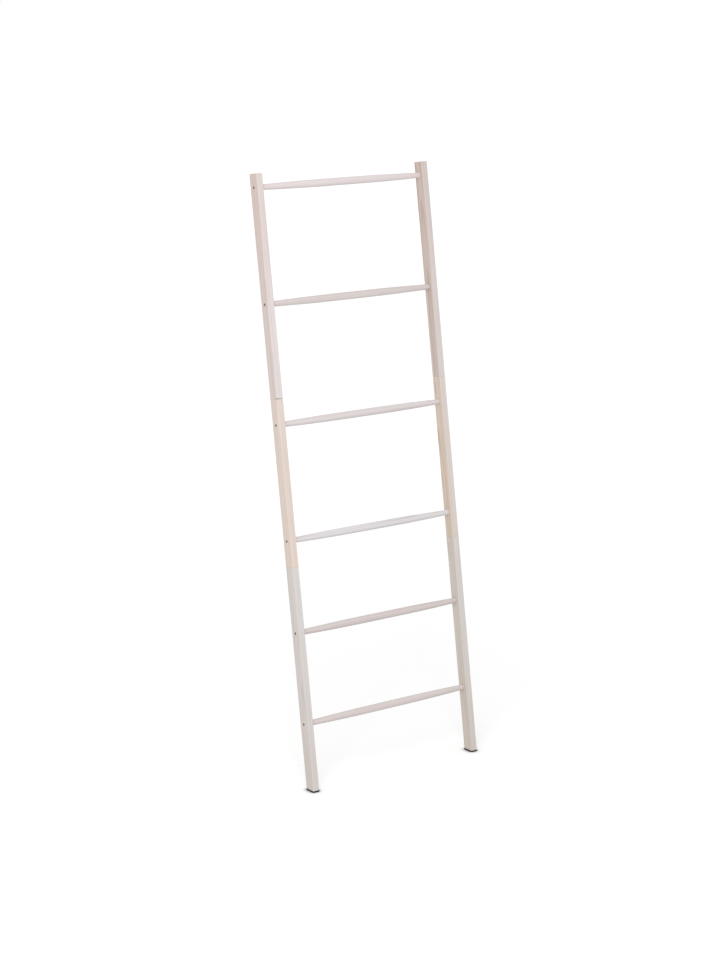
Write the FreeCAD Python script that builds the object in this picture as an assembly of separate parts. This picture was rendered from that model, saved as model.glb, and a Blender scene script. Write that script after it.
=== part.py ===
import FreeCAD, Part
import math
import os

# A towel ladder that leans against a wall. Each stile is three bars screwed end to end, six
# turned rungs sit in blind sockets in the stiles with a screw through the stile into each rung
# end, and a rubber foot is stuck under each stile.
# +X runs along the rungs, +Y points at the wall and +Z points up. The origin is on the floor,
# under the middle of the whole ladder's box. Lengths are in millimetres.
# Every piece of a stile is drawn with the stile upright, its middle line on the Z axis of the
# stile and its height counted from the floor along that line, and is then leaned over.

# Overall sizes: the width is taken across the stiles
width_across_stiles = 580.0
lean_degrees = 8.7

# Stile bars: width lies along the rungs, depth runs from front to back
stile_width = 21.0
stile_depth = 33.0
stile_edge_radius = 2.0
lower_bar_length = 626.5
middle_bar_length = 464.5
upper_bar_length = 612.0

# Joints between bars: ends are eased by a chamfer, and one joint stands open at its front corner
joint_chamfer = 0.3
seam_opening = 1.9
seam_width_share = 1.1
seam_depth_share = 0.3

# Rung places, from the ends of the bars that carry them
foot_rung_inset = 185.3
lower_rung_inset = 185.3
middle_rung_inset = 72.0
upper_rung_inset = 257.7
top_rung_inset = 38.0

# Rungs: straight in the middle, thinning in a long arc to each end
rung_end_diameter = 15.0
rung_swell = 3.0
rung_straight_length = 120.0
rung_end_chamfer = 0.6
rung_socket_depth = 8.0
rung_clearance = 0.1

# Rung screws: countersunk wood screws with a cross recess
screw_diameter = 4.5
screw_length = 50.0
screw_tip_length = 6.0
screw_head_diameter = 8.0
screw_head_rim = 0.4
screw_head_sink = 0.3
screw_clearance = 0.1
cross_recess_span = 4.4
cross_recess_width = 1.1
cross_recess_depth = 1.6

# Joint studs and threaded inserts: the stud's coarse end is in the bar above, its machine end
# is in an insert in the bar below
stud_diameter = 8.0
stud_upper_length = 32.0
stud_lower_length = 26.0
stud_tip_length = 6.0
stud_chamfer = 1.0
insert_diameter = 12.0
insert_length = 20.0
thread_clearance = 0.05
bore_end_room = 1.5

# Rubber feet: a little larger all round than the stiles' level-cut ends
foot_thickness = 4.0
foot_overhang = 1.0
foot_corner_radius = 4.0
foot_edge_chamfer = 0.5

# Cutting shapes run past the faces that they open by this much
overrun = 5.0

# Places that follow from the sizes above
LEFT = -1
RIGHT = 1
SIDE_NAMES = {LEFT: "left", RIGHT: "right"}
UP = FreeCAD.Vector(0, 0, 1)
DOWN = FreeCAD.Vector(0, 0, -1)
ALONG_RUNGS = FreeCAD.Vector(1, 0, 0)

lean = math.radians(lean_degrees)
stile_offset = (width_across_stiles - stile_width) / 2
clear_width = width_across_stiles - 2 * stile_width
rung_length = clear_width + 2 * rung_socket_depth
screw_head_height = screw_head_rim + (screw_head_diameter - screw_diameter) / 2

bar_bottom = foot_thickness / math.cos(lean)
lower_joint = bar_bottom + lower_bar_length
upper_joint = lower_joint + middle_bar_length
stile_top = upper_joint + upper_bar_length
joint_heights = [lower_joint, upper_joint]

rung_heights = [
    bar_bottom + foot_rung_inset,
    lower_joint - lower_rung_inset,
    lower_joint + middle_rung_inset,
    upper_joint - middle_rung_inset,
    upper_joint + upper_rung_inset,
    stile_top - top_rung_inset,
]

foot_width = stile_width + 2 * foot_overhang
foot_depth = stile_depth / math.cos(lean) + 2 * foot_overhang
foot_centre = foot_thickness * math.tan(lean)
front_reach = foot_centre - foot_depth / 2
top_arc_depth = stile_depth / 2 - stile_edge_radius
top_arc_height = stile_top - stile_edge_radius
back_reach = top_arc_depth * math.cos(lean) + top_arc_height * math.sin(lean) + stile_edge_radius
middle_of_box = (front_reach + back_reach) / 2


def to_ladder_frame(shape):
    """Moves a shape from the floor point under the stiles' middle lines to the ladder's origin."""
    return shape.translated(FreeCAD.Vector(0, -middle_of_box, 0))


def leaned(shape):
    """Leans an upright shape back against the wall and puts it in the ladder's frame."""
    tilted = shape.rotated(FreeCAD.Vector(0, 0, 0), ALONG_RUNGS, -lean_degrees)
    return to_ladder_frame(tilted)


def turned(outline, base, direction):
    """Turns a half outline of (radius, distance) points and arcs about a line from base."""
    edges = []
    for start, finish, middle in outline:
        first = FreeCAD.Vector(start[0], 0, start[1])
        last = FreeCAD.Vector(finish[0], 0, finish[1])
        if middle is None:
            edges.append(Part.LineSegment(first, last).toShape())
        else:
            between = FreeCAD.Vector(middle[0], 0, middle[1])
            edges.append(Part.Arc(first, between, last).toShape())
    face = Part.Face(Part.Wire(edges))
    solid = face.revolve(FreeCAD.Vector(0, 0, 0), UP, 360)
    solid.Placement = FreeCAD.Placement(base, FreeCAD.Rotation(UP, direction))
    return solid


def closed_outline(points, arc_middles):
    """Joins points in a ring. arc_middles gives the middle point of each arc by its start index."""
    ring = []
    for index, start in enumerate(points):
        finish = points[(index + 1) % len(points)]
        ring.append((start, finish, arc_middles.get(index)))
    return ring


def edges_at_height(shape, height):
    """The ring of edges around a bar's end."""
    found = []
    for edge in shape.Edges:
        box = edge.BoundBox
        if max(abs(box.ZMin - height), abs(box.ZMax - height)) < joint_chamfer:
            found.append(edge)
    return found


def long_edges_of(shape, length):
    """The upright edges that run the length of a bar or foot."""
    return [edge for edge in shape.Edges if edge.BoundBox.ZLength > length / 2]


def square_bar(side, bottom, top):
    """An upright bar of a stile with sharp edges."""
    corner = FreeCAD.Vector(side * stile_offset - stile_width / 2, -stile_depth / 2, bottom)
    return Part.makeBox(stile_width, stile_depth, top - bottom, corner)


def rounded_bar(side, bottom, top):
    """An upright bar of a stile with its long edges rounded."""
    bar = square_bar(side, bottom, top)
    return bar.makeFillet(stile_edge_radius, long_edges_of(bar, top - bottom))


def rung_seat(side, height):
    """What one rung takes out of a stile: its socket, the screw's hole and the head's sink."""
    outer = side * width_across_stiles / 2
    inward = FreeCAD.Vector(-side, 0, 0)
    outward = FreeCAD.Vector(side, 0, 0)
    socket_mouth = FreeCAD.Vector(side * (clear_width / 2 - overrun), 0, height)
    socket_radius = rung_end_diameter / 2 + rung_clearance
    socket = Part.makeCylinder(socket_radius, rung_socket_depth + overrun, socket_mouth, outward)
    hole_radius = screw_diameter / 2 + screw_clearance
    hole_start = FreeCAD.Vector(outer, 0, height)
    hole = Part.makeCylinder(hole_radius, stile_width, hole_start, inward)
    sink_radius = screw_head_diameter / 2 + screw_clearance
    sink_start = FreeCAD.Vector(outer + side * overrun, 0, height)
    sink_depth = screw_head_sink + screw_head_rim
    sink = Part.makeCylinder(sink_radius, overrun + sink_depth, sink_start, inward)
    cone_start = FreeCAD.Vector(outer - side * sink_depth, 0, height)
    cone = Part.makeCone(sink_radius, hole_radius, screw_head_height - screw_head_rim, cone_start, inward)
    return [socket, hole, sink, cone]


def stud_bore(side, height):
    """The blind hole in the lower end of a bar for the coarse end of a joint stud."""
    start = FreeCAD.Vector(side * stile_offset, 0, height - overrun)
    radius = stud_diameter / 2 + thread_clearance
    return Part.makeCylinder(radius, overrun + stud_upper_length + bore_end_room, start, UP)


def insert_bore(side, height):
    """The stepped hole in the upper end of a bar for a threaded insert and the stud through it."""
    start = FreeCAD.Vector(side * stile_offset, 0, height + overrun)
    wide_radius = insert_diameter / 2 + thread_clearance
    wide = Part.makeCylinder(wide_radius, overrun + insert_length, start, DOWN)
    narrow_radius = stud_diameter / 2 + screw_clearance
    narrow_length = overrun + max(stud_lower_length + bore_end_room, insert_length)
    narrow = Part.makeCylinder(narrow_radius, narrow_length, start, DOWN)
    return [wide, narrow]


def seam_wedge(height):
    """The thin wedge that keeps the left stile's joint open at its outer front corner."""
    corner = FreeCAD.Vector(LEFT * stile_offset - stile_width / 2, -stile_depth / 2, height)
    across = stile_width * seam_width_share
    inward = stile_depth * seam_depth_share
    diagonal = math.hypot(across, inward)
    reach = across * inward / diagonal
    front = reach + overrun
    half_run = diagonal + overrun
    points = [
        FreeCAD.Vector(-half_run, 0, 0),
        FreeCAD.Vector(-half_run, -front, front * seam_opening / reach),
        FreeCAD.Vector(-half_run, -front, -overrun),
        FreeCAD.Vector(-half_run, 0, -overrun),
    ]
    face = Part.Face(Part.makePolygon(points + points[:1]))
    wedge = face.extrude(ALONG_RUNGS * 2 * half_run)
    closes_at = corner + FreeCAD.Vector(inward, across, 0) * (reach / diagonal)
    turn = FreeCAD.Rotation(UP, -math.degrees(math.atan2(inward, across)))
    wedge.Placement = FreeCAD.Placement(closes_at, turn)
    return wedge


def lower_bar(side):
    """The bottom bar of a stile, cut level to stand on its rubber foot."""
    bar = rounded_bar(side, bar_bottom - stile_depth, lower_joint)
    bar = bar.makeChamfer(joint_chamfer, edges_at_height(bar, lower_joint))
    cuts = insert_bore(side, lower_joint)
    for height in rung_heights[:2]:
        cuts += rung_seat(side, height)
    bar = leaned(bar.cut(cuts))
    span = 2 * (stile_depth + overrun)
    corner = FreeCAD.Vector(side * stile_offset - span / 2, -span / 2, foot_thickness - span)
    below_foot = to_ladder_frame(Part.makeBox(span, span, span, corner))
    return bar.cut(below_foot)


def middle_bar(side):
    """The middle bar of a stile, with a joint at each end."""
    bar = rounded_bar(side, lower_joint, upper_joint)
    ends = edges_at_height(bar, lower_joint) + edges_at_height(bar, upper_joint)
    bar = bar.makeChamfer(joint_chamfer, ends)
    cuts = insert_bore(side, upper_joint) + [stud_bore(side, lower_joint)]
    for height in rung_heights[2:4]:
        cuts += rung_seat(side, height)
    return leaned(bar.cut(cuts))


def upper_bar(side):
    """The top bar of a stile, cut square at its top. The left one's joint stands open at a corner."""
    bar = square_bar(side, upper_joint, stile_top)
    rounded_edges = long_edges_of(bar, upper_bar_length) + edges_at_height(bar, stile_top)
    bar = bar.makeFillet(stile_edge_radius, rounded_edges)
    bar = bar.makeChamfer(joint_chamfer, edges_at_height(bar, upper_joint))
    cuts = [stud_bore(side, upper_joint)]
    for height in rung_heights[4:]:
        cuts += rung_seat(side, height)
    if side == LEFT:
        cuts.append(seam_wedge(upper_joint))
    return leaned(bar.cut(cuts))


def rung_outline():
    """Half the outline of a rung, as radius and distance from its middle."""
    half = rung_length / 2
    end_radius = rung_end_diameter / 2
    middle_radius = end_radius + rung_swell
    taper_start = rung_straight_length / 2
    taper_end = clear_width / 2
    taper = taper_end - taper_start
    arc_radius = (taper ** 2 + rung_swell ** 2) / (2 * rung_swell)
    halfway = taper / 2
    halfway_radius = middle_radius - arc_radius + math.sqrt(arc_radius ** 2 - halfway ** 2)
    points = [
        (0, -half),
        (end_radius - rung_end_chamfer, -half),
        (end_radius, rung_end_chamfer - half),
        (end_radius, -taper_end),
        (middle_radius, -taper_start),
        (middle_radius, taper_start),
        (end_radius, taper_end),
        (end_radius, half - rung_end_chamfer),
        (end_radius - rung_end_chamfer, half),
        (0, half),
    ]
    arcs = {3: (halfway_radius, -taper_start - halfway), 5: (halfway_radius, taper_start + halfway)}
    return closed_outline(points, arcs)


def rung(height):
    """A turned rung with a pilot hole for a screw in each end."""
    body = turned(rung_outline(), FreeCAD.Vector(0, 0, height), ALONG_RUNGS)
    pilot_radius = screw_diameter / 2 + thread_clearance
    screw_reach = screw_length + screw_head_sink - (stile_width - rung_socket_depth)
    pilots = []
    for side in (LEFT, RIGHT):
        start = FreeCAD.Vector(side * (rung_length / 2 + overrun), 0, height)
        inward = FreeCAD.Vector(-side, 0, 0)
        pilots.append(Part.makeCylinder(pilot_radius, overrun + screw_reach + bore_end_room, start, inward))
    return leaned(body.cut(pilots))


def rung_screw(side, height):
    """A countersunk wood screw through a stile into the end of a rung."""
    radius = screw_diameter / 2
    head_radius = screw_head_diameter / 2
    points = [
        (0, 0),
        (head_radius, 0),
        (head_radius, screw_head_rim),
        (radius, screw_head_height),
        (radius, screw_length - screw_tip_length),
        (0, screw_length),
    ]
    head_face = FreeCAD.Vector(side * (width_across_stiles / 2 - screw_head_sink), 0, height)
    screw = turned(closed_outline(points, {}), head_face, FreeCAD.Vector(-side, 0, 0))
    slots = []
    for across, along in ((cross_recess_span, cross_recess_width), (cross_recess_width, cross_recess_span)):
        slot = Part.makeBox(2 * cross_recess_depth, across, along)
        slot.translate(head_face - FreeCAD.Vector(cross_recess_depth, across / 2, along / 2))
        slots.append(slot)
    return leaned(screw.cut(slots))


def joint_stud(side, height):
    """A stud across a joint: a tapering coarse end up in one bar, a machine end down in the other."""
    radius = stud_diameter / 2
    points = [
        (0, -stud_lower_length),
        (radius - stud_chamfer, -stud_lower_length),
        (radius, stud_chamfer - stud_lower_length),
        (radius, stud_upper_length - stud_tip_length),
        (stud_chamfer, stud_upper_length),
        (0, stud_upper_length),
    ]
    return leaned(turned(closed_outline(points, {}), FreeCAD.Vector(side * stile_offset, 0, height), UP))


def joint_insert(side, height):
    """A threaded insert, flush with the end of the bar below a joint."""
    start = FreeCAD.Vector(side * stile_offset, 0, height)
    sleeve = Part.makeCylinder(insert_diameter / 2, insert_length, start, DOWN)
    bore = Part.makeCylinder(stud_diameter / 2 + thread_clearance, insert_length, start, DOWN)
    return leaned(sleeve.cut(bore))


def rubber_foot(side):
    """A flat rubber foot that covers a stile's level-cut end."""
    corner = FreeCAD.Vector(side * stile_offset - foot_width / 2, foot_centre - foot_depth / 2, 0)
    foot = Part.makeBox(foot_width, foot_depth, foot_thickness, corner)
    foot = foot.makeFillet(foot_corner_radius, long_edges_of(foot, foot_thickness))
    bottom_edges = [edge for edge in foot.Edges if edge.BoundBox.ZMax < foot_thickness / 2]
    return to_ladder_frame(foot.makeChamfer(foot_edge_chamfer, bottom_edges))


def ladder_pieces():
    """Every piece of the ladder by its name."""
    pieces = {}
    for side, name in SIDE_NAMES.items():
        pieces[name + "_stile_lower"] = lower_bar(side)
        pieces[name + "_stile_middle"] = middle_bar(side)
        pieces[name + "_stile_upper"] = upper_bar(side)
        pieces[name + "_rubber_foot"] = rubber_foot(side)
        studs = [joint_stud(side, height) for height in joint_heights]
        pieces[name + "_joint_studs"] = Part.makeCompound(studs)
        inserts = [joint_insert(side, height) for height in joint_heights]
        pieces[name + "_joint_inserts"] = Part.makeCompound(inserts)
    for number, height in enumerate(rung_heights, start=1):
        pieces["rung_%d" % number] = rung(height)
        screws = [rung_screw(side, height) for side in SIDE_NAMES]
        pieces["rung_%d_screws" % number] = Part.makeCompound(screws)
    return pieces


os.makedirs("parts", exist_ok=True)
for piece_name, piece in ladder_pieces().items():
    piece.exportStep("parts/" + piece_name + ".step")
    print(piece_name, len(piece.Solids), "solid(s)", piece.isValid(), round(piece.Volume), "cubic mm")
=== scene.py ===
# %% [markdown]
# # A whitewashed towel ladder
# The ladder leans on a wall and towels hang over its rungs. Its shape comes from a CAD model that is
# loaded as it is, at its real size in metres. This lesson adds what CAD leaves out: the camera, the light
# and the finish of every surface. The wood is the main part of it, so it gets the most steps.

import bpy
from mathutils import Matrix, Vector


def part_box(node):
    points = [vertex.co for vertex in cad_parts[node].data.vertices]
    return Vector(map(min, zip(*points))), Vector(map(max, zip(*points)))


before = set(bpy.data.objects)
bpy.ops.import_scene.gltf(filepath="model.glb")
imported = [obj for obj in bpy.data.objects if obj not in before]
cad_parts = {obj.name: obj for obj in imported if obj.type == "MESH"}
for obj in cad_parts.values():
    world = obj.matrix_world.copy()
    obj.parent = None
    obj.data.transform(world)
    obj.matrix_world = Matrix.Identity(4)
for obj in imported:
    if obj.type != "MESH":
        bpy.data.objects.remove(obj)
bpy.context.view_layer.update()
print("pieces in the frame:", len(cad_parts))

# %% [markdown]
# ## Where the stiles stand
# Wood grain runs along a stile, and the stiles lean, so the finishes need to know the lean. It could be
# typed in, but then it would be wrong as soon as the CAD changes. The rungs sit on the stiles' middle
# line, so the line from the lowest rung's centre to the highest one's gives the lean, and the point where
# it meets the floor.

# %% Measure the middle line and the lean
import math
import bpy
from mathutils import Euler, Vector

RUNG_COUNT = 6


def middle_of(node):
    low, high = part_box(node)
    return (low + high) / 2


lowest_rung = middle_of("rung_1")
highest_rung = middle_of("rung_%d" % RUNG_COUNT)
stile_line = (highest_rung - lowest_rung).normalized()
lean = math.atan2(stile_line.y, stile_line.z)
floor_point = lowest_rung - stile_line * (lowest_rung.z / stile_line.z)
print("lean in degrees:", round(math.degrees(lean), 2))
print("middle line meets the floor at", tuple(floor_point))

# %% [markdown]
# ## The camera
# The photograph was taken from the left front with a long lens, from higher than the top rung and looking
# down a little. A short lens close by could frame the ladder too, but it would make the stiles run
# together. A long lens far away keeps them almost parallel. The camera's place is given from the point on
# the floor between the feet, so it stays right if the origin moves.

# %% Place the camera
CAMERA_FROM_FEET = Vector((-3.738, -5.0098, 2.3316))
CAMERA_TURN = math.radians(35.846)
CAMERA_TILT = math.radians(13.355)
CAMERA_LENS_MM = 87.187
CAMERA_SENSOR_MM = 36.0
CAMERA_REACH = 100.0

camera_data = bpy.data.cameras.new("photo_camera")
camera_data.lens = CAMERA_LENS_MM
camera_data.sensor_width = CAMERA_SENSOR_MM
camera_data.clip_end = CAMERA_REACH
camera = bpy.data.objects.new("photo_camera", camera_data)
camera.location = floor_point + CAMERA_FROM_FEET
camera.rotation_euler = Euler((math.pi / 2 - CAMERA_TILT, 0.0, -CAMERA_TURN))
bpy.context.scene.collection.objects.link(camera)
bpy.context.scene.camera = camera
print("camera at", tuple(camera.location), "lens", CAMERA_LENS_MM, "mm")

# %% [markdown]
# ## Small helpers for node trees
# Every finish here is a tree of shader nodes. It could be a picture of wood or metal, but a picture has
# seams and a fixed sharpness, and nodes have neither. Short helpers keep the trees readable. The first
# three add a node and give its sockets their values.

# %% Add nodes and feed their sockets


def add_node(tree, kind, **settings):
    node = tree.nodes.new(kind)
    for name, value in settings.items():
        setattr(node, name, value)
    return node


def feed(tree, socket, value):
    """Gives a socket its value: a link if the value comes out of another node, or else a fixed number."""
    if isinstance(value, bpy.types.NodeSocket):
        tree.links.new(value, socket)
    else:
        socket.default_value = value


def feed_all(tree, node, **values):
    """Feeds sockets by name, with an underscore for each space in the name."""
    for name, value in values.items():
        feed(tree, node.inputs[name.replace("_", " ")], value)


print("helpers for nodes:", add_node.__name__, feed.__name__, feed_all.__name__)

# %% [markdown]
# ## Sums and blends
# A grain is made by adding, stretching and limiting noises, and a wash by blending two colours. Each of
# these is one node with a few sockets. A helper for each lets a tree be written as a sum, from the inside
# out.

# %% Do sums on values and blend colours


def sum_of(tree, operation, first, second=0.5, third=0.5, clamp=False):
    node = add_node(tree, "ShaderNodeMath", operation=operation, use_clamp=clamp)
    for socket, value in zip(node.inputs, (first, second, third)):
        feed(tree, socket, value)
    return node.outputs[0]


def weighted(tree, start, features, weights):
    """A start value plus each feature that has a weight, times that weight."""
    total = start
    for name, weight in weights.items():
        total = sum_of(tree, "MULTIPLY_ADD", features[name], weight, total)
    return total


def remap(tree, value, low, high, to_low=0.0, to_high=1.0):
    """Moves a value smoothly from one range to another, and stops at the ends."""
    node = add_node(tree, "ShaderNodeMapRange", interpolation_type="SMOOTHSTEP")
    feed_all(tree, node, Value=value, From_Min=low, From_Max=high, To_Min=to_low, To_Max=to_high)
    return node.outputs["Result"]


def mix_colours(tree, share, first, second):
    """A share of 0 gives the first colour and 1 the second. A Mix node has sockets for other kinds too."""
    node = add_node(tree, "ShaderNodeMix", data_type="RGBA")
    factor, colour_a, colour_b = node.inputs[0], node.inputs[6], node.inputs[7]
    for socket, value in ((factor, share), (colour_a, first), (colour_b, second)):
        feed(tree, socket, value)
    return node.outputs[2]


print("helpers for sums:", sum_of.__name__, weighted.__name__, remap.__name__, mix_colours.__name__)

# %% [markdown]
# ## Colours and new finishes
# A colour is easiest to judge as it looks on a screen, but a shader counts light. The standard screen
# curve turns one into the other, so the ladder's colours are written in screen values. Each finish starts
# from the shader that Blender puts in a new material, which does for wood, metal and rubber.

# %% Turn screen colours into light and start a finish
SCREEN_FULL = 255
CURVE_KNEE = 0.04045
CURVE_SLOPE = 12.92
CURVE_OFFSET = 0.055
CURVE_POWER = 2.4


def as_light(value):
    """A screen value from 0 to 255 as a share of full light."""
    share = value / SCREEN_FULL
    if share <= CURVE_KNEE:
        return share / CURVE_SLOPE
    return ((share + CURVE_OFFSET) / (1 + CURVE_OFFSET)) ** CURVE_POWER


def srgb(red, green, blue):
    """A colour as it looks on a screen, as the linear values that shaders use."""
    return (as_light(red), as_light(green), as_light(blue), 1.0)


def darker(colour, share):
    return tuple(c * share for c in colour[:3]) + (1.0,)


def new_finish(name):
    finish = bpy.data.materials.new(name)
    finish.use_nodes = True
    tree = finish.node_tree
    return finish, tree, tree.nodes["Principled BSDF"]


print("white as a shader sees it:", srgb(SCREEN_FULL, SCREEN_FULL, SCREEN_FULL))

# %% [markdown]
# ## Light
# The photograph is a studio shot on white. Its light is even: a white surround gives most of it, and one
# wide soft lamp from the left front makes the front faces a little lighter than the sides and the top a
# little lighter than the feet. An area lamp does that by itself, because its light fades with distance,
# as a sun lamp's would not. Seen directly or in a reflection the surround is plain white, whatever light
# it gives.

# %% Light the studio
WHITE = (1.0, 1.0, 1.0, 1.0)
SURROUND_LEVEL = 0.74
LAMP_FROM_FEET = Vector((-2.55, -2.75, 3.1))
LAMP_AIMS_AT = Vector((0.0, 0.0, 0.9))
LAMP_WIDTH = 2.4
LAMP_WATTS = 74.0


def seen_directly(tree):
    """1 for a ray that the viewer sees, straight or in a reflection, and 0 for a ray that carries light."""
    rays = add_node(tree, "ShaderNodeLightPath")
    seen = sum_of(tree, "ADD", rays.outputs["Is Camera Ray"], rays.outputs["Is Glossy Ray"], clamp=True)
    return sum_of(tree, "ADD", seen, rays.outputs["Is Transmission Ray"], clamp=True)


world = bpy.data.worlds.new("studio_surround")
world.use_nodes = True
bpy.context.scene.world = world
surround = world.node_tree
surround_white = surround.nodes["Background"]
surround_white.inputs["Color"].default_value = WHITE
level = sum_of(surround, "MULTIPLY_ADD", seen_directly(surround), 1.0 - SURROUND_LEVEL, SURROUND_LEVEL)
feed(surround, surround_white.inputs["Strength"], level)

lamp_data = bpy.data.lights.new("wide_lamp", "AREA")
lamp_data.size = LAMP_WIDTH
lamp_data.energy = LAMP_WATTS
lamp = bpy.data.objects.new("wide_lamp", lamp_data)
lamp.location = floor_point + LAMP_FROM_FEET
lamp.rotation_mode = "QUATERNION"
lamp.rotation_quaternion = (LAMP_FROM_FEET - LAMP_AIMS_AT).to_track_quat("Z", "Y")
bpy.context.scene.collection.objects.link(lamp)
print("surround", SURROUND_LEVEL, "lamp", LAMP_WATTS, "W at", tuple(lamp.location))

# %% [markdown]
# ## Floor
# The ladder stands on a floor that runs out of the picture on all sides. A studio would use a paper sweep
# that curves up behind, but on pure white nobody sees the curve, so one large square does.

# %% Lay the floor
FLOOR_HALF = 30.0

floor_mesh = bpy.data.meshes.new("studio_floor")
corners = [(x * FLOOR_HALF, y * FLOOR_HALF, 0.0) for x, y in ((-1, -1), (1, -1), (1, 1), (-1, 1))]
floor_mesh.from_pydata(corners, [], [(0, 1, 2, 3)])
floor = bpy.data.objects.new("studio_floor", floor_mesh)
bpy.context.scene.collection.objects.link(floor)
print("floor of", 2 * FLOOR_HALF, "m")

# %% [markdown]
# ## A white floor that keeps its shadow
# Only a soft shadow close to the feet shows that there is a floor. A floor that is lit to pure white
# would put too much light on the ladder from below, so rays that carry light meet a grey floor. What the
# viewer sees is a white floor with a little glow. The glow makes up for the lamp's light, which fades
# outward, so the open floor is just over white everywhere. Such a floor would swallow the tight shadow
# under the feet, so a shadow is painted there: ambient occlusion, which measures how much is covered
# within a short reach, darkens the floor's colour and its glow close to the feet.

# %% Finish the floor
FLOOR_FOR_LIGHT = (0.78, 0.78, 0.78, 1.0)
FLOOR_FOR_VIEWER = (0.95, 0.95, 0.95, 1.0)
FLOOR_ROUGHNESS = 0.9
FLOOR_GLOW_SHARE = 0.15
GLOW_NEAR = 1.95
GLOW_FAR = 3.0
GLOW_FAR_DISTANCE = 4.0
PAINTED_SHADOW_REACH = 0.016
PAINTED_SHADOW_DEPTH = 1.5
PAINTED_SHADOW_COLOUR = (0.0, 0.0, 0.0, 1.0)

floor_finish, tree, shader = new_finish("floor_white")
seen = seen_directly(tree)
# Painted shadow: ambient occlusion darkens the floor's colour and glow close to the feet.
painted_shadow_occlusion = add_node(tree, "ShaderNodeAmbientOcclusion")
painted_shadow_occlusion.inputs["Distance"].default_value = PAINTED_SHADOW_REACH
outside_painted_shadow = sum_of(tree, "POWER", painted_shadow_occlusion.outputs["AO"], PAINTED_SHADOW_DEPTH)
viewer_floor = mix_colours(tree, outside_painted_shadow, PAINTED_SHADOW_COLOUR, FLOOR_FOR_VIEWER)
feed_all(tree, shader, Base_Color=mix_colours(tree, seen, FLOOR_FOR_LIGHT, viewer_floor))
feed_all(tree, shader, Roughness=FLOOR_ROUGHNESS, Specular_IOR_Level=0.0)

away = add_node(tree, "ShaderNodeVectorMath", operation="LENGTH")
feed(tree, away.inputs[0], add_node(tree, "ShaderNodeTexCoord").outputs["Object"])
glow = add_node(tree, "ShaderNodeEmission")
outward = remap(tree, away.outputs["Value"], 0.0, GLOW_FAR_DISTANCE, GLOW_NEAR, GLOW_FAR)
feed(tree, glow.inputs["Strength"], sum_of(tree, "MULTIPLY", outward, outside_painted_shadow))

lit_and_glowing = add_node(tree, "ShaderNodeMixShader")
feed(tree, lit_and_glowing.inputs["Fac"], sum_of(tree, "MULTIPLY", seen, FLOOR_GLOW_SHARE))
feed(tree, lit_and_glowing.inputs[1], shader.outputs["BSDF"])
feed(tree, lit_and_glowing.inputs[2], glow.outputs["Emission"])
feed(tree, tree.nodes["Material Output"].inputs["Surface"], lit_and_glowing.outputs["Shader"])
floor_mesh.materials.append(floor_finish)
print("floor mixed with a glow by", FLOOR_GLOW_SHARE)

# %% [markdown]
# ## Whitewashed wood
# The bars and rungs are pale softwood under a thin milky wash. What shows through are growth rings, broad
# streaks of richer wood, fine fibres, short dark pores and patches where the wash is uneven. A picture of
# wood would stretch round the corners. Noise worked out in space cuts through a piece as the grain of a
# log does, so faces and ends agree. Each kind has a width across the grain in metres, and a stretch that
# draws it out along the grain.

# %% Noise along the grain
DRIFT = dict(width=0.11, stretch=0.16, detail=2.0, shift=0)
STREAK = dict(width=0.007, stretch=0.025, detail=2.0, shift=11)
FIBRE = dict(width=0.0009, stretch=0.02, detail=3.0, shift=0)
PORE = dict(width=0.0005, stretch=0.06, detail=1.0, shift=3)
PATCH = dict(width=0.05, stretch=0.2, detail=3.0, shift=7)
GRAIN_ROUGHNESS = 0.6


def grain_noise(tree, place, board, width, stretch, detail, shift):
    """Noise of a given width across the grain, drawn out along it. A smaller stretch makes it longer.

    The board's number picks a stretch of the noise, and the shift keeps two kinds of noise apart.
    """
    start = board + shift
    mapping = add_node(tree, "ShaderNodeMapping")
    mapping.inputs["Scale"].default_value = (1 / width, 1 / width, stretch / width)
    mapping.inputs["Location"].default_value = (start, -start, start)
    feed(tree, mapping.inputs["Vector"], place)
    noise = add_node(tree, "ShaderNodeTexNoise")
    feed_all(tree, noise, Vector=mapping.outputs["Vector"], Scale=1.0)
    feed_all(tree, noise, Detail=detail, Roughness=GRAIN_ROUGHNESS)
    return noise


print("fibres are", FIBRE["width"] * 1000, "mm wide and streaks", STREAK["width"] * 1000, "mm")

# %% [markdown]
# ## Uneven growth
# A tree grows more in some years than in others, and its trunk is never quite round. Rings of one width
# around a straight line would look drawn with a compass. Two kinds of noise cure that. One changes only
# from year to year, and the other moves a point a little across the grain before its ring is counted.

# %% Years that differ and rings that wander
RING_WANDER = 0.02
YEAR_DETAIL = 1.0
YEAR_ROUGHNESS = 0.5
NOISE_MIDDLE = 0.5


def year_noise(tree, years, pace, start):
    """Noise that only changes from ring to ring."""
    noise = add_node(tree, "ShaderNodeTexNoise", noise_dimensions="1D")
    along = sum_of(tree, "MULTIPLY_ADD", years, pace, start)
    feed_all(tree, noise, W=along, Scale=1.0, Detail=YEAR_DETAIL, Roughness=YEAR_ROUGHNESS)
    return noise.outputs[0]


def wandering(tree, place, board):
    """The place, moved a little across the grain by slow noise."""
    drift = grain_noise(tree, place, board, **DRIFT).outputs["Color"]
    centred = add_node(tree, "ShaderNodeVectorMath", operation="SUBTRACT")
    feed(tree, centred.inputs[0], drift)
    feed(tree, centred.inputs[1], (NOISE_MIDDLE, NOISE_MIDDLE, NOISE_MIDDLE))
    moved = add_node(tree, "ShaderNodeVectorMath", operation="MULTIPLY_ADD")
    feed(tree, moved.inputs[0], centred.outputs[0])
    feed(tree, moved.inputs[1], (RING_WANDER, RING_WANDER, 0.0))
    feed(tree, moved.inputs[2], place)
    return moved.outputs[0]


print("rings wander by up to", RING_WANDER * NOISE_MIDDLE * 1000, "mm")

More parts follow.
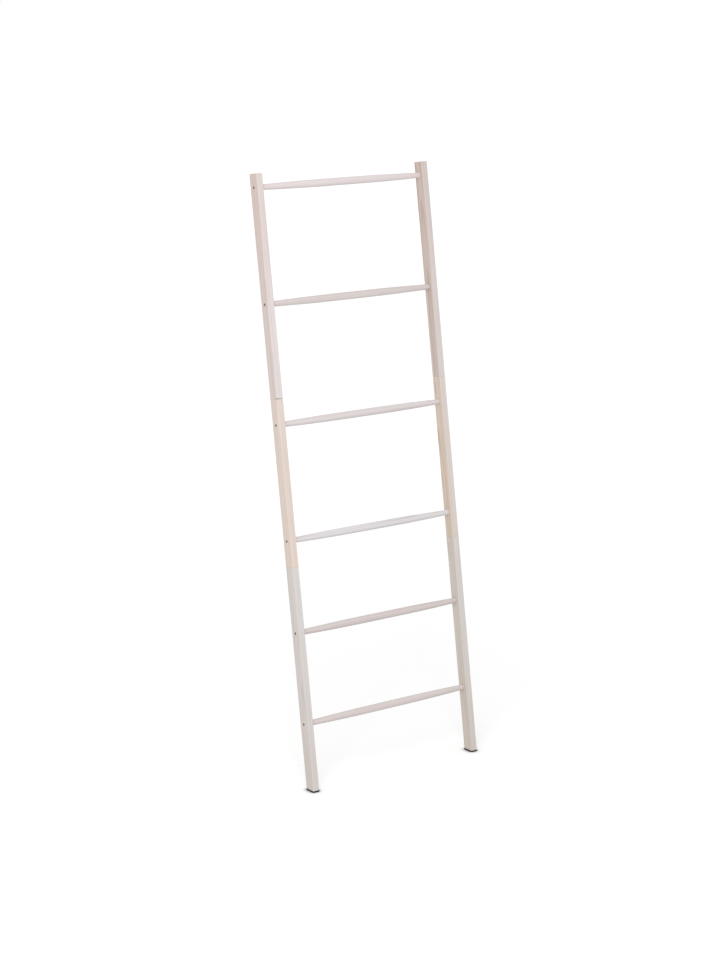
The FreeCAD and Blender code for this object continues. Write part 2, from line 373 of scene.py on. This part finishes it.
# %% [markdown]
# ## Growth rings
# Each year adds a ring to the log, pale first and dark at its end. A bar is sawn beside the heart of the
# log, so the rings make long lines on its faces and arcs on its ends. Blender's wave texture has rings
# too, but they are all alike. Counting the years from the heart and taking the fraction of a year lets
# every ring have a width and a darkness of its own. The log grows thinner towards its top, so a straight
# saw cut runs through the rings at a slant.

# %% Rings around the heart of the log
RING_SPACING = 0.0042
LOG_TAPER = 0.012
YEAR_UNEVENNESS = 1.3
YEAR_WIDTH_PACE = 0.3
YEAR_TONE_PACE = 0.61
YEAR_TONE_SHIFT = 5
FAINTEST_YEAR = 0.35
LATE_FROM = 0.5
LATE_FULL = 0.97
# Most of the noise lies between these two values.
NOISE_LOW = 0.3
NOISE_HIGH = 0.7


def late_wood(tree, place, beside_heart, board):
    """The dark end of each year's ring. The piece's middle line runs beside the heart of the log."""
    from_heart = add_node(tree, "ShaderNodeMapping")
    from_heart.inputs["Location"].default_value = (*beside_heart, 0.0)
    from_heart.inputs["Scale"].default_value = (1.0, 1.0, 0.0)
    feed(tree, from_heart.inputs["Vector"], wandering(tree, place, board))
    distance = add_node(tree, "ShaderNodeVectorMath", operation="LENGTH")
    feed(tree, distance.inputs[0], from_heart.outputs["Vector"])
    along = add_node(tree, "ShaderNodeSeparateXYZ")
    feed(tree, along.inputs[0], place)
    tapered = sum_of(tree, "MULTIPLY_ADD", along.outputs["Z"], LOG_TAPER, distance.outputs["Value"])
    years = sum_of(tree, "DIVIDE", tapered, RING_SPACING)
    uneven = year_noise(tree, years, YEAR_WIDTH_PACE, board)
    years = sum_of(tree, "MULTIPLY_ADD", uneven, YEAR_UNEVENNESS, years)
    late = remap(tree, sum_of(tree, "FRACT", years), LATE_FROM, LATE_FULL)
    tone = year_noise(tree, sum_of(tree, "FLOOR", years), YEAR_TONE_PACE, board + YEAR_TONE_SHIFT)
    darkness = remap(tree, tone, NOISE_LOW, NOISE_HIGH, FAINTEST_YEAR, 1.0)
    return sum_of(tree, "MULTIPLY", late, darkness)


print("rings every", RING_SPACING * 1000, "mm")

# %% [markdown]
# ## Wood under a wash
# A wash is thin white paint that is wiped off again. It hides soft wood well, and late wood, streaks and
# pores less. One blend of wood and white with a fixed share would look like a plain pale colour, so the
# share follows the same noises as the grain does. They also lift the fibres and sink the pores a little
# in the relief. Where the wash lies thick, the surface is rougher.

# %% Mix the wood and its wash
WASH = srgb(231, 228, 231)
LATE_WOOD_DARKNESS = 0.62
PORE_FROM = 0.64
PORE_FULL = 0.74
RICHNESS_START = -0.25
RICHNESS = {"late": 0.55, "streak": 0.6, "fibre": 0.4, "raw_end": 0.7}
COVER_START = 0.14
COVER = {"patch": 0.16, "streak": -0.28, "late": -0.2, "fibre": -0.1, "pore": -0.2}
RELIEF = {"fibre": 0.55, "late": 0.3, "pore": -0.5}
RELIEF_HEIGHT = 0.0004
RELIEF_STRENGTH = 0.35
BARE_ROUGHNESS = 0.42
WASH_ROUGHER = 0.24
WOOD_SPECULAR = 0.3


def washed_wood(name, place_of, wood, cover, beside_heart, board):
    """Pale wood under the wash. cover is the share of the wood that it hides where it is not thinner."""
    finish, tree, shader = new_finish(name)
    place, thinner, raw_end = place_of(tree)
    pore = grain_noise(tree, place, board, **PORE).outputs[0]
    grain = {
        "late": late_wood(tree, place, beside_heart, board),
        "streak": grain_noise(tree, place, board, **STREAK).outputs[0],
        "fibre": grain_noise(tree, place, board, **FIBRE).outputs[0],
        "pore": remap(tree, pore, PORE_FROM, PORE_FULL),
        "patch": grain_noise(tree, place, board, **PATCH).outputs[0],
        "raw_end": raw_end,
    }
    richness = weighted(tree, RICHNESS_START, grain, RICHNESS)
    bare = mix_colours(tree, richness, wood, darker(wood, LATE_WOOD_DARKNESS))
    hidden = weighted(tree, cover + COVER_START, grain, COVER)
    hidden = sum_of(tree, "SUBTRACT", hidden, thinner, clamp=True)
    roughness = sum_of(tree, "MULTIPLY_ADD", hidden, WASH_ROUGHER, BARE_ROUGHNESS)
    bump = add_node(tree, "ShaderNodeBump")
    height = weighted(tree, 0.0, grain, RELIEF)
    feed_all(tree, bump, Strength=RELIEF_STRENGTH, Distance=RELIEF_HEIGHT, Height=height)
    feed_all(tree, shader, Base_Color=mix_colours(tree, hidden, bare, WASH), Roughness=roughness)
    feed_all(tree, shader, Specular_IOR_Level=WOOD_SPECULAR, Normal=bump.outputs["Normal"])
    return finish


print("late wood is", LATE_WOOD_DARKNESS, "as light as the rest")

# %% [markdown]
# ## A bar's own frame
# The grain place of a bar is its own upright frame, so that the rings run along the bar although it
# leans. Turning the surface normal into the same frame tells front, side and end faces apart. The object
# could be turned instead, but the CAD pieces stay where they are, so the turn is done in the finish.

# %% Turn a leaning bar upright


def turned_upright(tree, vector, kind, shift):
    """A point or direction in a bar's own frame, and how far it goes across, front to back and along."""
    turn = add_node(tree, "ShaderNodeMapping", vector_type=kind)
    turn.inputs["Rotation"].default_value = (lean, 0.0, 0.0)
    if kind == "POINT":
        turn.inputs["Location"].default_value = shift
    feed(tree, turn.inputs["Vector"], vector)
    parts = add_node(tree, "ShaderNodeSeparateXYZ")
    feed(tree, parts.inputs[0], turn.outputs["Vector"])
    return turn.outputs["Vector"], [sum_of(tree, "ABSOLUTE", part) for part in parts.outputs]


def bar_sizes(node):
    """The width, depth and length of a leaning bar with square ends, from the box around it."""
    low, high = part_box(node)
    size = high - low
    depth = (size.y * math.cos(lean) - size.z * math.sin(lean)) / math.cos(2 * lean)
    length = (size.z * math.cos(lean) - size.y * math.sin(lean)) / math.cos(2 * lean)
    return size.x, depth, length


def height_along(node):
    """How far up the stiles' middle line a bar's centre is, from the floor."""
    return (middle_of(node) - floor_point).dot(stile_line)


bar_width, bar_depth, middle_length = bar_sizes("left_stile_middle")
lower_joint = height_along("left_stile_middle") - middle_length / 2
stile_top = height_along("left_stile_upper") + bar_sizes("left_stile_upper")[2] / 2
print("bar section in mm:", round(bar_width * 1000, 1), "by", round(bar_depth * 1000, 1))
print("lower joints and tops in mm from the floor:", round(lower_joint * 1000), round(stile_top * 1000))

# %% [markdown]
# ## Where the wash is thin
# The wash is made thinner on a bar's side faces than on its front and back, so the sides come out darker
# and warmer; this is partly painted shade, which stands in for the shade on the sides. It is thinner too on
# the thirsty sawn ends and along the rubbed corners. It wears towards the top, where hands take hold, and
# on some bars around the lower joint, where they are gripped to screw them together. Towards the feet it
# is made thinner as well, so the lower ends come out darker and warmer. Ends that meet in a joint were
# never washed. Painting this by hand would need a picture for each bar. Here it follows from the place in
# the bar and the way its surface faces, so one recipe does for all six.

# %% Find a bar's faces, corners and worn ends
HAND_WEAR = 0.15
HAND_WEAR_REACH = 0.6
# The wash is made thinner towards the feet, so the lower ends of the bars are darker and warmer.
FOOT_DARKENING = 0.11
FOOT_DARKENING_REACH = 0.5
JOINT_WEAR_REACH = 0.22
CORNER_THINNER = 0.06
CORNER_WEAR_REACH = 0.0025
END_THINNER = 0.30
RAW_END_THINNER = 1.0
SIDE_FACE_FROM = 0.4
END_FACE_FROM = 0.6
FACE_FULL = 0.95
TOP_MARGIN = 0.02


def bar_place(node, side_thinning_and_shade, joint_wear):
    """A recipe: a point's place in a bar, how much thinner the wash is there, how much it is a raw end."""
    foot = Euler((lean, 0.0, 0.0)).to_matrix() @ Vector((middle_of(node).x, floor_point.y, floor_point.z))

    def build(tree):
        point = add_node(tree, "ShaderNodeTexCoord").outputs["Object"]
        normal = add_node(tree, "ShaderNodeNewGeometry").outputs["Normal"]
        place, (across, front, along) = turned_upright(tree, point, "POINT", -foot)
        facing = turned_upright(tree, normal, "VECTOR", None)[1]
        near_side = remap(tree, across, bar_width / 2 - CORNER_WEAR_REACH, bar_width / 2)
        near_front = remap(tree, front, bar_depth / 2 - CORNER_WEAR_REACH, bar_depth / 2)
        from_joint = sum_of(tree, "ABSOLUTE", sum_of(tree, "SUBTRACT", along, lower_joint))
        end_face = remap(tree, facing[2], END_FACE_FROM, FACE_FULL)
        below_top = remap(tree, along, stile_top - TOP_MARGIN, stile_top - TOP_MARGIN / 2, 1.0, 0.0)
        raw_end = sum_of(tree, "MULTIPLY", end_face, below_top)
        parts = {
            "top": remap(tree, along, stile_top - HAND_WEAR_REACH, stile_top),
            "foot": remap(tree, along, 0.0, FOOT_DARKENING_REACH, 1.0, 0.0),
            "joint": remap(tree, from_joint, 0.0, JOINT_WEAR_REACH, 1.0, 0.0),
            "corner": sum_of(tree, "MULTIPLY", near_side, near_front),
            "side": remap(tree, facing[0], SIDE_FACE_FROM, FACE_FULL),
            "end": end_face,
            "raw_end": raw_end,
        }
        # The side entry makes the side faces darker and warmer; this is partly painted shade.
        thinning = {
            "top": HAND_WEAR,
            "foot": FOOT_DARKENING,
            "joint": joint_wear,
            "corner": CORNER_THINNER,
            "side": side_thinning_and_shade,
            "end": END_THINNER,
            "raw_end": RAW_END_THINNER,
        }
        return place, weighted(tree, 0.0, parts, thinning), raw_end

    return build


print("wash thinner by", HAND_WEAR, "at the top and by", FOOT_DARKENING, "at the feet")

# %% [markdown]
# ## Stile bars
# Each stile is three bars from different boards, and the wash took differently on each: the upper bars
# are pinkish, the middle ones warm and peachy, the lower ones greyer. One wood for all would lose the
# joints, which show mostly as a change of tone. So each bar has its own wood, cover and board, and its
# own place beside the heart.

# %% Dress the stile bars
# side is how much thinner the wash is on the side faces, which darkens them partly as painted shade, and
# joint how much it is worn at the lower joint.
BARS = {
    "left_stile_upper": dict(wood=srgb(218, 181, 158), cover=0.79, side=0.20, joint=0.0, board=81.7),
    "left_stile_middle": dict(wood=srgb(234, 200, 164), cover=0.58, side=0.05, joint=0.06, board=43.4),
    "left_stile_lower": dict(wood=srgb(201, 183, 160), cover=0.745, side=0.13, joint=0.0, board=5.1),
    "right_stile_upper": dict(wood=srgb(204, 175, 154), cover=0.67, side=0.26, joint=0.0, board=6.8),
    "right_stile_middle": dict(wood=srgb(218, 189, 156), cover=0.65, side=0.29, joint=0.05, board=48.5),
    "right_stile_lower": dict(wood=srgb(198, 180, 152), cover=0.67, side=0.17, joint=0.05, board=90.2),
}
BAR_BESIDE_HEART = (0.034, 0.05)
BAR_HEART_STEP = (0.006, -0.012)


def heart_place(start, step, number):
    """Where a piece's middle line runs beside the heart of its log, one step further for each piece."""
    return tuple(first + number * more for first, more in zip(start, step))


for number, (node, bar) in enumerate(BARS.items(), start=1):
    beside_heart = heart_place(BAR_BESIDE_HEART, BAR_HEART_STEP, number)
    place_of = bar_place(node, bar["side"], bar["joint"])
    finish = washed_wood(node + "_wood", place_of, bar["wood"], bar["cover"], beside_heart, bar["board"])
    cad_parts[node].data.materials[0] = finish
    print(node, "dressed in", finish.name)

# %% [markdown]
# ## Rungs
# A rung is turned from a square blank with the grain along it. Where the lathe cuts through the rings
# they show as long pointed loops. A stripe wrapped round the rung could not show them, but the same
# recipe as for the bars does, once its grain runs along the rung. The blanks differ in tone, and some
# took the wash better than others, so each rung has its own wood and cover.

# %% Dress the rungs
PLAIN_BLANK = srgb(207, 183, 167)
DARK_BLANK = srgb(199, 176, 163)
GREY_BLANK = srgb(197, 185, 173)
PINK_BLANK = srgb(226, 184, 166)
RUNGS = {
    "rung_1": dict(wood=PLAIN_BLANK, cover=0.55, board=217.4),
    "rung_2": dict(wood=DARK_BLANK, cover=0.51, board=146.3),
    "rung_3": dict(wood=GREY_BLANK, cover=0.81, board=26.9),
    "rung_4": dict(wood=PLAIN_BLANK, cover=0.71, board=229.2),
    "rung_5": dict(wood=PLAIN_BLANK, cover=0.62, board=191.5),
    "rung_6": dict(wood=PINK_BLANK, cover=0.78, board=240.7),
}
RUNG_BESIDE_HEART = (0.012, 0.03)
RUNG_HEART_STEP = (0.004, -0.007)


def rung_place(node):
    """The same recipe for a rung, whose wash is even and whose ends are hidden in the stiles."""
    centre = middle_of(node)

    def build(tree):
        point = add_node(tree, "ShaderNodeTexCoord").outputs["Object"]
        along = add_node(tree, "ShaderNodeMapping")
        turn = Euler((0.0, -math.pi / 2, 0.0))
        along.inputs["Rotation"].default_value = turn
        along.inputs["Location"].default_value = -(turn.to_matrix() @ centre)
        feed(tree, along.inputs["Vector"], point)
        return along.outputs["Vector"], 0.0, 0.0

    return build


for number, (node, rung) in enumerate(RUNGS.items(), start=1):
    beside_heart = heart_place(RUNG_BESIDE_HEART, RUNG_HEART_STEP, number)
    place_of = rung_place(node)
    finish = washed_wood(node + "_wood", place_of, rung["wood"], rung["cover"], beside_heart, rung["board"])
    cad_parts[node].data.materials[0] = finish
    print(node, "dressed in", finish.name)

# %% [markdown]
# ## Metal and rubber
# The screw heads are plated steel coloured a dark grey, a little uneven from the plating; the dark grey is
# partly painted shade, which stands in for the shade on the heads in their countersinks. The studs and
# inserts are inside the joints and only show when the ladder is taken apart. The feet are matt dark rubber
# with a fine grain. One colour each would look like plastic, so all of them share a recipe with a speckle
# of two tones, which also sets how rough the surface is and gives it a fine relief.

# %% A speckled finish
SPECKLE_DETAIL = 3.0
SPECKLE_ROUGHNESS = 0.6
SPECKLE_RELIEF_STRENGTH = 0.5
SHEEN_SPREAD = 0.08


def speckled(name, light, dark, size, roughness, metallic, specular, relief):
    """A finish with an uneven speckle of two tones, whose light specks are smoother than the dark ones."""
    finish, tree, shader = new_finish(name)
    noise = add_node(tree, "ShaderNodeTexNoise")
    point = add_node(tree, "ShaderNodeTexCoord").outputs["Object"]
    feed_all(tree, noise, Vector=point, Scale=1 / size, Detail=SPECKLE_DETAIL, Roughness=SPECKLE_ROUGHNESS)
    share = remap(tree, noise.outputs[0], NOISE_LOW, NOISE_HIGH)
    rough = remap(tree, share, 0.0, 1.0, roughness + SHEEN_SPREAD, roughness - SHEEN_SPREAD)
    bump = add_node(tree, "ShaderNodeBump")
    feed_all(tree, bump, Strength=SPECKLE_RELIEF_STRENGTH, Distance=relief, Height=noise.outputs[0])
    feed_all(tree, shader, Base_Color=mix_colours(tree, share, dark, light), Roughness=rough)
    feed_all(tree, shader, Metallic=metallic, Specular_IOR_Level=specular, Normal=bump.outputs["Normal"])
    return finish


print("speckle sets roughness within", SHEEN_SPREAD)

# %% [markdown]
# ## Screws, studs, inserts and feet
# The names of the pieces end in what they are, so each finish is given to every piece with its ending. A
# list of all twelve pieces would work as well, but it would have to be kept up to date with the CAD.

# %% Dress the metal and the rubber
METAL = dict(metallic=1.0, specular=0.5, relief=0.00005)
RUBBER = dict(metallic=0.0, specular=0.2, relief=0.0001)
# The screw colours are darker than bare plated steel; this is partly painted shade on the heads.
SCREW_STEEL_AND_SHADE = dict(light=srgb(140, 134, 126), dark=srgb(104, 98, 92), size=0.0016, roughness=0.42)
STUD_STEEL = dict(light=srgb(196, 196, 192), dark=srgb(168, 168, 164), size=0.002, roughness=0.38)
INSERT_BRASS = dict(light=srgb(206, 170, 100), dark=srgb(180, 142, 78), size=0.002, roughness=0.36)
FOOT_RUBBER = dict(light=srgb(44, 43, 44), dark=srgb(30, 30, 32), size=0.0012, roughness=0.8)
PLAIN_FINISHES = {
    "screws": speckled("screw_steel_with_painted_shade", **SCREW_STEEL_AND_SHADE, **METAL),
    "studs": speckled("zinc_stud_steel", **STUD_STEEL, **METAL),
    "inserts": speckled("insert_brass", **INSERT_BRASS, **METAL),
    "foot": speckled("foot_rubber", **FOOT_RUBBER, **RUBBER),
}
for node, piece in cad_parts.items():
    for ending, finish in PLAIN_FINISHES.items():
        if node.endswith(ending):
            piece.data.materials[0] = finish
            print(node, "dressed in", finish.name)

# %% [markdown]
# ## The view transform
# The view transform is set to Standard, because the usual one would grey the white surround.

bpy.context.scene.view_settings.view_transform = "Standard"
